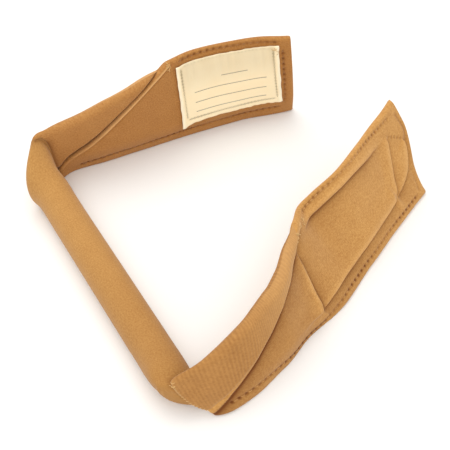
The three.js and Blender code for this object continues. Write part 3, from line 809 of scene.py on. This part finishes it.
def roll_rings(near, far):
    """Rings of points from the near tip's wrapped end to the far one, and the roll's length."""
    radius = ROLL_DIAMETER / 2
    axis = (far.middle - near.middle) * [1, 1, 0]
    length = np.linalg.norm(axis)
    axis = axis / length
    square = np.array([axis[1], -axis[0], 0])

    def station(along):
        tip = near if along < 0.5 else far
        across, rise, turn = (float(ROLL_RUN.read("along", name, along)) for name in ROLL_SHAPE)
        wide = lerp(square, tip.tangent, turn)
        tall = lerp(np.array([0, 0, 1]), tip.ruling, rise)
        wide, tall = wide / np.linalg.norm(wide), tall / np.linalg.norm(tall)
        half_tall = lerp(radius, tip.half, rise)
        bulge = bell(along - LABEL_BULGE_AT, LABEL_BULGE_REACH)
        centre = near.middle + axis * along * length + square * ROLL_SIDE * (1 - turn)
        centre = centre + tip.tangent * (tip.slide * turn ** 5 - LABEL_BULGE * bulge)
        centre[2] = half_tall * tall[2] - PRESSED
        slim = lerp(1 - ROLL_SLIM * (1 - turn), tip.wide, turn ** 3) + LABEL_BULGE_WIDE * bulge
        x, y = ring_shape(lerp(2, tip.square, turn ** 2))
        return centre + wide * (radius * slim * across * x) + tall * (half_tall * tucked(y, along * length))

    def wrap(tip, share):
        out = share * TIP_WRAP.columns["out"][-1]
        across, tall = (float(TIP_WRAP.read("out", name, out)) for name in ROLL_SHAPE[:2])
        half_wide = radius * tip.wide * ROLL_RUN.columns["across"][0] * across
        x, y = ring_shape(tip.square)
        folded = tucked(y, 0) if tip is near else y
        height = tip.half * (1 + tall * folded[:, 0])
        return tip.surface.point(tip.shift + half_wide * x[:, 0], height, out * ROLL_DIAMETER)

    rings = [wrap(near, share) for share in np.linspace(1, 0, ROLL_WRAPS, endpoint=False)]
    rings += [station(along) for along in np.linspace(0, 1, ROLL_STATIONS)]
    rings += [wrap(far, share) for share in np.linspace(0, 1, ROLL_WRAPS + 1)[1:]]
    return np.array(rings), length


def roll_piece(strap):
    """The roll: a round foam-filled tube. Each tip is flattened against a band and wraps its folded end."""
    rings, length = roll_rings(Tip(strap.closure, *CLOSURE_TIP), Tip(strap.label, *LABEL_TIP))
    count, sides = rings.shape[:2]
    travel, turn = np.meshgrid(np.linspace(0, length, count), np.arange(sides) + 0.5, indexing="ij")
    # Painted shade: darker towards the near end, and beside each band where the roll's tip meets it.
    shade = 0.2 * fade((travel - 10) / 100)
    for surface in (strap.closure, strap.label):
        rings, contact_shade = press_against(surface, rings)
        shade = np.maximum(shade, 0.4 * contact_shade)
    vertices = np.concatenate([rings.reshape(-1, 3), rings[0].mean(0)[None], rings[-1].mean(0)[None]])
    first, last = count * sides, count * sides + 1
    now = np.arange(sides)
    then = (now + 1) % sides
    faces = []
    for start in range(0, (count - 1) * sides, sides):
        a, b = start + now, start + then
        faces += list(np.stack([a, b, b + sides, a + sides], axis=-1))
    for k, m in zip(now, then):
        faces.append([first, m, k])
        faces.append([last, (count - 1) * sides + k, (count - 1) * sides + m])
    around = math.tau * turn / sides * ROLL_DIAMETER / 2
    cloth = np.stack([travel, around, travel * 0], axis=-1).reshape(-1, 3)
    cloth = np.concatenate([cloth, cloth[:1], cloth[-1:]])
    shade = np.append(shade.ravel(), [0, 0])
    return add_mesh("roll_cloth", strap.place(vertices), outward(vertices, faces), cloth, shade)


def press_against(surface, points):
    """Moves points that would lie in a band's folded end onto its inner face. Also says how near each is,
    which the roll takes as painted shade beside the band.
    """
    close = np.linalg.norm(points - surface.path[0], axis=-1) < 2.5 * ROLL_DIAMETER
    s, w, n = surface.locate(points[close])
    face = -(band_half(np.maximum(s, 0)) + GAP)
    inside = (s > -GAP) & (n > face) & (w > -5)
    pressed = surface.point(s, w, np.where(inside, face, n))
    moved = points.copy()
    moved[close] = np.where(inside[..., None], pressed, points[close])
    contact_shade = np.zeros(points.shape[:-1])
    contact_shade[close] = np.exp(-np.maximum(face - n, 0) / 2.2) * smooth((s + 6) / 6)
    return moved, contact_shade


def label_piece(strap):
    """The woven label: a thin cloth with turned edges that the stitches pucker.

    Its lower left corner hangs loose and its upper right one has a nick.
    """
    u, v, sides, ends = patch_grid(LABEL_LENGTH, LABEL_HEIGHT, LABEL_BORDER)
    low_left, high_left, high_right, low_right = (np.array(corner) for corner in LABEL_CORNERS)
    bottom = lerp(low_left, low_right, u[..., None])
    top = lerp(high_left, high_right, u[..., None])
    s, w = np.moveaxis(lerp(bottom, top, v[..., None]), -1, 0)
    edge = np.minimum(sides, ends)
    corner = bell(u * LABEL_LENGTH, 5) * bell(v * LABEL_HEIGHT, 5)
    nick = bell((1 - u) * LABEL_LENGTH, 4) * bell((1 - v) * LABEL_HEIGHT, 3)
    high, size = LONG_WAVES
    wavy = high * np.exp(-ends / WAVE_REACH) * ripple(s, w * 0, 11, size) * (1 - 0.5 * v)
    w = w + wavy - 1.3 * corner + 0.9 * nick
    high, size = SHORT_WAVES
    s = s + high * np.exp(-sides / WAVE_REACH) * ripple(w, s * 0, 12, size) - 0.5 * corner
    high, size = RIM_WAVES
    lift = high * np.exp(-edge / WAVE_REACH) * ripple(s, w, 13, size)
    high, size = WIDE_WAVES
    lift = lift + high * ripple(s, w, 14, size) + 0.5 * nick + 0.4 * corner
    wrinkles = np.sin(s * 1.1 + 2 * np.sin(s * 0.31) + 0.12 * w) * smooth((v - 0.5) / 0.35)
    heights, darks = zip(*(row.shape(s, w) for row in LABEL_ROWS))
    half = LABEL_THICKNESS / 2 * rounded(edge, 0.7, 0.1)
    turned = 0.3 * (bell(sides - 1.3, 0.9) + 0.5 * bell(ends - 1.1, 0.8))
    middle = -(WING_THICKNESS / 2 + LABEL_LIFT + LABEL_THICKNESS / 2) - np.maximum(lift, -0.3)
    inner = strap.label.point(s, w, middle - half - turned - 0.12 * wrinkles - 0.4 * sum(heights))
    outer = strap.label.point(s, w, middle + half)
    # Painted shade in the stitch grooves and painted shading along the wrinkles; the label is also darker
    # towards the top; a painted highlight lies along the turned left and right edges.
    shade = np.maximum.reduce(darks) + 0.19 * smooth((v - 0.4) / 0.45) - 0.015 * wrinkles
    shade = shade - 0.7 * bell(sides, 1.6)
    return cloth_sheet("label_cloth", strap, inner, outer, s, w, shade, 0 * s)


def hook_piece(strap):
    """The hook patch on the inner face of the closure wing: a stiff tape with a stitched border."""
    u, v, sides, ends = patch_grid(HOOK_LENGTH, HOOK_WIDTH, HOOK_BASE)
    s, w = lerp(HOOK_START, HOOK_STOP, u), lerp(HOOK_FOOT, HOOK_FOOT + HOOK_WIDTH, v)
    half = HOOK_BASE / 2 * rounded(np.minimum(sides, ends), 0.5, 0.1)
    middle = -(WING_THICKNESS / 2 + GAP + HOOK_BASE / 2)
    # The border's stitch rows sink the tape and give its inner face painted shade in their grooves.
    sunk, shade = relief(HOOK_ROWS, s, w)
    inner = strap.closure.point(s, w, middle - half - sunk * 0.5)
    outer = strap.closure.point(s, w, middle + half)
    return cloth_sheet("hook_tape", strap, inner, outer, s, w, shade, shade * 0)


def hook_field(strap):
    """Rows of small bent hooks on the tape, inside its stitched border."""
    out = -(WING_THICKNESS / 2 + GAP + HOOK_BASE) - np.array([0, 0.35, 0.75, 0.95]) * HOOK_TALL
    top = HOOK_FOOT + HOOK_WIDTH - HOOK_MARGIN
    lines = []
    for i, s in enumerate(np.arange(HOOK_START + HOOK_MARGIN, HOOK_STOP - HOOK_MARGIN + 0.5, HOOK_PITCH)):
        bend = np.array([0, 0, 0.4, 1]) * (HOOK_LEAN if i % 2 else -HOOK_LEAN)
        foot = HOOK_FOOT + HOOK_MARGIN + HOOK_PITCH / 2 * (i % 2)
        for w in np.arange(foot, top + 0.5, HOOK_PITCH):
            lines.append(strap.closure.point(s + bend, np.full(4, w), out))
    return tubes("hook_field", strap, lines, HOOK_WIRE, 4)


def tube(points, radius, sides=6):
    """Vertices and faces of a thin closed tube along a line of points."""
    points = np.asarray(points, float)
    direction = np.gradient(points, axis=0)
    direction /= np.linalg.norm(direction, axis=1, keepdims=True)
    helper = np.array([0.31, 0.27, 0.91])
    side = np.cross(direction, helper)
    side /= np.linalg.norm(side, axis=1, keepdims=True)
    other = np.cross(direction, side)
    angle = math.tau * np.arange(sides) / sides
    taper = np.ones(len(points))
    taper[[0, -1]] = 0.45
    ring = side[:, None] * np.cos(angle)[None, :, None] + other[:, None] * np.sin(angle)[None, :, None]
    vertices = (points[:, None] + ring * (radius * taper)[:, None, None]).reshape(-1, 3)
    faces = []
    for i in range(len(points) - 1):
        for k in range(sides):
            m = (k + 1) % sides
            faces.append([i * sides + k, (i + 1) * sides + k, (i + 1) * sides + m, i * sides + m])
    faces.append(list(range(sides)))
    faces.append([(len(points) - 1) * sides + k for k in reversed(range(sides))])
    return vertices, faces


def tubes(name, strap, lines, radius, sides=6):
    """One piece made of many thin tubes."""
    vertices, faces, start = [], [], 0
    for line in lines:
        points, some = tube(line, radius, sides)
        vertices.append(points)
        faces += [[start + k for k in face] for face in some]
        start += len(points)
    points = np.concatenate(vertices)
    return add_mesh(name, strap.place(points), faces, points, np.zeros(len(points)))


class Face:
    """One face of a sewn wing, as a thread finds it: 1 is the outer face and -1 the inner one."""

    REACH = 10

    def __init__(self, strap, surface, side, pieces):
        self.strap, self.surface, self.side = strap, surface, side
        self.trees = [BVHTree.FromObject(piece, bpy.context.evaluated_depsgraph_get()) for piece in pieces]

    def height(self, s, w):
        """How far out the cloth lies at each place."""
        starts = self.strap.place(self.surface.point(s, w, self.side * self.REACH))
        stops = self.strap.place(self.surface.point(s, w, np.zeros_like(s)))
        heights = []
        for start, stop in zip(starts, stops):
            way = Vector(stop - start)
            hits = [tree.ray_cast(Vector(start), way.normalized(), way.length)[3] for tree in self.trees]
            hits = [hit for hit in hits if hit is not None]
            heights.append(self.REACH * (1 - min(hits) / way.length) if hits else 0)
        return np.array(heights)

    def lay(self, s, w, lift):
        """A thread along places of the face, with its middle at a height over the cloth."""
        return self.surface.point(s, w, self.side * (self.height(s, w) + lift))


def stitch_lines(face, rows):
    """One short thread for each stitch of each row, which dives into the cloth at both ends."""
    lines = []
    for row in rows:
        for k in range(int(row.line.length / row.pitch)):
            travel = (k + 0.5 + np.linspace(-0.5, 0.5, len(STITCH_ARCH)) * STITCH_SPAN) * row.pitch
            place, _ = row.line.at(travel)
            lines.append(face.lay(place[:, 0], place[:, 1], STITCH_ARCH))
    return lines


def bartack_lines(face, place, half_long, half_wide, turns, tilt):
    """A bartack: a close zigzag of thread across a place of the face. tilt is its direction in degrees."""
    ahead = heading(tilt)[:2]
    aside = heading(tilt + 90)[:2]
    sweep = np.linspace(-1, 1, len(TACK_ARCH))
    lines = []
    for k in range(turns):
        along = lerp(-half_long, half_long, (k + 0.5 + 0.5 * sweep) / turns)
        across = half_wide * sweep * (-1) ** k
        path = np.array(place) + along[:, None] * ahead + across[:, None] * aside
        lines.append(face.lay(path[:, 0], path[:, 1], TACK_ARCH))
    return lines


def frayed_lines(face, places, seed):
    """Loose ends of thread that curl up from a few places of the face."""
    random = np.random.default_rng(seed)
    lines = []
    for place in places:
        turn, bend = random.uniform(0, 360), random.uniform(-90, 90)
        path = [np.array(place)]
        for k in range(FRAY_STEPS):
            path.append(path[-1] + FRAY_STEP * heading(turn + bend * k / (FRAY_STEPS - 1))[:2])
        path = np.array(path)
        rise = np.sin(np.linspace(0, math.pi * 0.85, FRAY_STEPS + 1))
        lines.append(face.lay(path[:, 0], path[:, 1], random.uniform(0.5, 1.1) * rise + 0.1))
    return lines


def whipped_lines(face, cut, foot, top, pitch):
    """Short overcast stitches from the cut end of a band onto its face."""
    reach = np.linspace(0.1, WHIP_REACH, len(WHIP_ARCH))
    heights = np.arange(foot, top, pitch)
    return [face.lay(cut.read("w", "s", w) + reach, w + WHIP_SLANT * reach, WHIP_ARCH) for w in heights]


class Paint:
    """A material in the making. Its patterns follow the place on the cloth in mm."""

    # Sockets of a colour mix: its share, its two colours and its result
    SHARE, FIRST, SECOND, MIXED = 0, 6, 7, 2
    # Scale at which a wave has one rib for each unit
    ONE_RIB = 0.314

    def __init__(self, name, roughness, sheen=0, gloss=0.2):
        self.material = bpy.data.materials.new(name)
        self.material.use_nodes = True
        self.tree = self.material.node_tree
        self.shader = self.tree.nodes["Principled BSDF"].inputs
        self.shader["Roughness"].default_value = roughness
        self.shader["Specular IOR Level"].default_value = gloss
        self.shader["Sheen Weight"].default_value = sheen
        self.shader["Sheen Roughness"].default_value = 0.5

    def feed(self, socket, value):
        """Sets a socket to a number or colour, or links it to what another node gives."""
        if isinstance(value, bpy.types.NodeSocket):
            self.tree.links.new(value, socket)
        else:
            socket.default_value = value

    def node(self, kind, inputs, output, **settings):
        """What a new node with these inputs and settings gives."""
        made = self.tree.nodes.new("ShaderNode" + kind)
        for name, value in settings.items():
            setattr(made, name, value)
        for name, value in inputs.items():
            self.feed(made.inputs[name], value)
        return made.outputs[output]

    def attribute(self, name, output):
        return self.node("Attribute", {}, output, attribute_name=name)

    def mapped(self, scale, turn=0):
        """The place on the cloth, turned in the cloth's plane and scaled."""
        place = self.attribute("cloth", "Vector")
        turned = (0, 0, math.radians(turn))
        return self.node("Mapping", {"Vector": place, "Rotation": turned, "Scale": scale}, "Vector")

    def noise(self, scale, detail, roughness=0.5):
        inputs = {"Vector": self.mapped((scale,) * 3), "Scale": 1, "Detail": detail, "Roughness": roughness}
        return self.node("TexNoise", inputs, "Fac")

    def ribs(self, pitch, turn, distortion):
        place = self.mapped((1 / pitch, 1 / pitch, 1), turn)
        inputs = {"Vector": place, "Scale": self.ONE_RIB, "Distortion": distortion, "Detail": 1}
        return self.node("TexWave", inputs, "Fac")

    def math(self, operation, first, second=0):
        return self.node("Math", {0: first, 1: second}, 0, operation=operation)

    def plus(self, first, second):
        return self.math("ADD", first, second)

    def times(self, first, second):
        return self.math("MULTIPLY", first, second)

    def mix(self, share, first, second):
        inputs = {self.SHARE: share, self.FIRST: first, self.SECOND: second}
        return self.node("Mix", inputs, self.MIXED, data_type="RGBA")

    def with_painted_shading(self, colour, crease, lip):
        """The colour, with painted shade in creases and painted highlights on lips."""
        shade = self.attribute("shade", "Fac")
        return self.mix(self.times(shade, -1), self.mix(shade, colour, crease), lip)

    def bump(self, height, strength, distance):
        inputs = {"Height": height, "Strength": strength, "Distance": distance}
        self.feed(self.shader["Normal"], self.node("Bump", inputs, "Normal"))

    def done(self, colour):
        self.feed(self.shader["Base Color"], colour)
        return self.material


def knit(name, yarn, rib_pitch, rib_turn, rib_depth, fleck=2.2):
    """Brushed stretch knit: soft mottling, a fine grain, faint ribs, painted shade in creases and painted
    highlights on lips.
    """
    paint = Paint(name, 0.92, 0.12)
    light, dark = yarn
    mottle = paint.noise(0.13, 3, 0.55)
    grain = paint.noise(1.3, 2, 0.6)
    ribs = paint.ribs(rib_pitch, rib_turn, 0.6)
    spread = paint.plus(paint.times(mottle, 0.5), paint.times(grain, fleck))
    spread = paint.plus(spread, paint.times(ribs, 0.3 * rib_depth))
    spread = paint.math("SUBTRACT", spread, 0.5 * fleck - 0.25 + 0.15 * rib_depth)
    paint.bump(paint.plus(grain, paint.times(ribs, rib_depth)), 0.55, 0.00025)
    return paint.done(paint.with_painted_shading(paint.mix(spread, dark, light), CREASE_SHADE, LIP_HIGHLIGHT))


def label_weave():
    """Cream woven cloth with plain ruled lines to write on."""
    paint = Paint("label_weave", 0.8, 0.1)
    light, dark = LABEL_YARN
    weave = paint.times(paint.ribs(0.7, 0, 0.8), paint.ribs(0.7, 90, 0.8))
    spread = paint.plus(paint.times(paint.noise(0.1, 3, 0.6), 0.8), paint.times(weave, 0.2))
    colour = paint.mix(spread, dark, light)
    place = paint.attribute("cloth", "Vector")
    along, up = (paint.node("SeparateXYZ", {"Vector": place}, axis) for axis in "XY")
    for height, start, stop in RULED_LINES:
        near = paint.math("ABSOLUTE", paint.math("SUBTRACT", up, height))
        inked = paint.math("LESS_THAN", near, RULED_HALF)
        inked = paint.times(inked, paint.math("GREATER_THAN", along, start))
        inked = paint.times(inked, paint.math("LESS_THAN", along, stop))
        colour = paint.mix(paint.times(inked, RULED_INK), colour, LABEL_INK)
    paint.bump(weave, 0.4, 0.0002)
    # The label's shade attribute gives painted shade in the stitch grooves and along the wrinkles, a darker
    # top, and a painted highlight on the turned edges.
    return paint.done(paint.with_painted_shading(colour, LABEL_CREASE_SHADE, LABEL_LIP_HIGHLIGHT))


def spun_thread(name, yarn):
    """Spun thread: a little lighter and darker from stitch to stitch."""
    paint = Paint(name, 0.7, 0.2)
    return paint.done(paint.mix(paint.noise(0.9, 1), *yarn))


def nylon_tape():
    """Nylon hook tape, slightly glossy, with painted shade in its stitch grooves."""
    paint = Paint("nylon_tape", 0.55, 0, 0.4)
    light, dark = HOOK_YARN
    colour = paint.mix(paint.noise(0.8, 2), dark, light)
    return paint.done(paint.mix(paint.attribute("shade", "Fac"), colour, HOOK_CREASE_SHADE))

def make_camera():
    data = bpy.data.cameras.new("camera")
    data.lens = CAMERA_LENS
    data.sensor_width = SENSOR
    data.clip_start = 0.01
    camera = add_object("camera", data)
    angle = math.radians(CAMERA_ELEVATION)
    back = Vector((0, -math.cos(angle), math.sin(angle)))
    camera.location = Vector(CAMERA_LOOK) + back * CAMERA_DISTANCE
    camera.rotation_euler = (math.radians(90 - CAMERA_ELEVATION), 0, 0)
    bpy.context.scene.camera = camera


def make_light(name, place, target, side, power, colour):
    data = bpy.data.lights.new(name, "AREA")
    data.shape = "RECTANGLE"
    data.size = data.size_y = side
    data.energy = power
    data.color = colour
    light = add_object(name, data)
    light.location = place
    light.rotation_euler = (Vector(target) - Vector(place)).to_track_quat("-Z", "Y").to_euler()


def make_stage():
    """A pale floor, a bright room and soft lamps."""
    half = FLOOR_HALF
    corners = [(x, y, FLOOR_HEIGHT) for x, y in ((-half, -half), (half, -half), (half, half), (-half, half))]
    floor = add_mesh("floor", corners, [(0, 1, 2, 3)])
    floor.data.materials.append(Paint("floor_paper", 0.9).done(FLOOR_COLOUR))
    world = bpy.data.worlds.new("room")
    world.use_nodes = True
    background = world.node_tree.nodes["Background"].inputs
    background["Color"].default_value = ROOM_COLOUR
    background["Strength"].default_value = 1
    bpy.context.scene.world = world
    for lamp in LAMPS:
        make_light(*lamp)
    bpy.context.scene.view_settings.view_transform = "Standard"


def dress(piece, material, slot, *nodes):
    """Gives a piece its material, puts it on the body, and hides the solids that it stands for. Its slot is
    not used.
    """
    piece.data.materials.append(material)
    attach(piece, "root")
    if nodes:
        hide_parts(*nodes)
    return piece


make_camera()
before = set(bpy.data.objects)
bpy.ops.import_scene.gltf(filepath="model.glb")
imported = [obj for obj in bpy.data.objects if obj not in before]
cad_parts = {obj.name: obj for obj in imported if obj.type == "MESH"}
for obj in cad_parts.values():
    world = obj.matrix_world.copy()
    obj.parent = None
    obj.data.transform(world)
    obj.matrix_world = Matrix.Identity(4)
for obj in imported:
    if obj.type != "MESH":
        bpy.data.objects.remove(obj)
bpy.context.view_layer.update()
strap = Strap()

roll_knit = knit("roll_knit", ROLL_YARN, 1, 0, 0.25)
band_knit = knit("band_knit", BAND_YARN, 1.15, 8, 0.8, 1)
inner_band_knit = knit("inner_band_knit", INNER_BAND_YARN, 1, 90, 0.3)
label_wing_knit = knit("label_wing_knit", LABEL_WING_YARN, 0.9, 90, 0.4)
closure_wing_knit = knit("closure_wing_knit", CLOSURE_WING_YARN, 0.9, 90, 0.4)
tan_thread = spun_thread("tan_thread", TAN_THREAD)
dark_thread = spun_thread("dark_thread", DARK_THREAD)
pale_thread = spun_thread("pale_thread", PALE_THREAD)
label_thread = spun_thread("label_thread", CREAM_THREAD)
tape = nylon_tape()

roll = dress(roll_piece(strap), roll_knit, "roll_cloth", "roll")
band_label = dress(
    band_piece("band_label_cloth", strap, strap.label, LABEL_WING_EDGE, label_band_foot,
               LABEL_BAND_CUT, LABEL_WING_PROUD, 2.4, 5, LAP / 2, 5.2, 21),
    inner_band_knit, "band_cloth", "band_label")
band_closure = dress(
    band_piece("band_closure_cloth", strap, strap.closure, CLOSURE_WING_EDGE, closure_band_foot,
               CLOSURE_BAND_CUT, 0, 0, 2, 0.4, 2.8, 22),
    band_knit, "band_cloth", "band_closure")
wing_label = dress(
    wing_piece("wing_label_cloth", strap, strap.label, LABEL_WING_EDGE, LABEL_WING_END,
               LABEL_INNER_FEATURES, LABEL_FEATURES, 31, LABEL_WING_PROUD, flare, lambda s, w: 0),
    label_wing_knit, "wing_cloth", "wing_label")
wing_closure = dress(
    wing_piece("wing_closure_cloth", strap, strap.closure, CLOSURE_WING_EDGE, CLOSURE_WING_END,
               CLOSURE_FEATURES, CLOSURE_OUTER_FEATURES, 32, 0, tuck, closure_painted_shading),
    closure_wing_knit, "wing_cloth", "wing_closure")
label = dress(label_piece(strap), label_weave(), "label_cloth", "label")
dress(hook_piece(strap), tape, "hook_tape", "hook_patch")
dress(hook_field(strap), tape, "hook_tape")

label_inner = Face(strap, strap.label, -1, [wing_label, band_label])
label_outer = Face(strap, strap.label, 1, [wing_label, band_label])
closure_inner = Face(strap, strap.closure, -1, [wing_closure, band_closure])
closure_outer = Face(strap, strap.closure, 1, [wing_closure, band_closure])
label_face = Face(strap, strap.label, -1, [label])
label_hem = stitch_lines(label_inner, LABEL_FEATURES) + stitch_lines(label_outer, LABEL_FEATURES)
closure_hem = stitch_lines(closure_inner, CLOSURE_FEATURES) + stitch_lines(closure_outer, CLOSURE_FEATURES)
dress(tubes("label_hem_stitches", strap, label_hem, THREAD), dark_thread, "wing_cloth")
dress(tubes("closure_hem_stitches", strap, closure_hem, THREAD), tan_thread, "wing_cloth")
label_border = stitch_lines(label_face, LABEL_ROWS[:3])
dress(tubes("label_stitches", strap, label_border, LABEL_THREAD), label_thread, "label_cloth")

bartacks = bartack_lines(label_inner, (69.5, 50), 1.2, 0.6, 5, 70)
for place in ((83.5, 47.6), (82.5, 45.4), (78, 47.2), (71, 47), (67.5, 44.6), (70, 45.4)):
    bartacks += bartack_lines(closure_outer, place, 0.8, 0.5, 3, 10 * place[0])
bartacks += bartack_lines(label_outer, (70, 48.4), 2.4, 0.9, 8, 20)
bartacks += whipped_lines(closure_outer, CLOSURE_BAND_CUT, 3.5, 25, 1.4)
bartacks += frayed_lines(closure_outer, [(82, 47), (72, 47), (0.8, 23.5)], 41)
bartacks += frayed_lines(label_inner, [(70, 49.4), (71, 49.8)], 42)
bartacks += frayed_lines(label_face, [(126.2, 46.6), (125, 47), (127.2, 45.4)], 43)
dress(tubes("bartacks", strap, bartacks, TACK_THREAD), pale_thread, "wing_cloth")

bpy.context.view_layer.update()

make_stage()
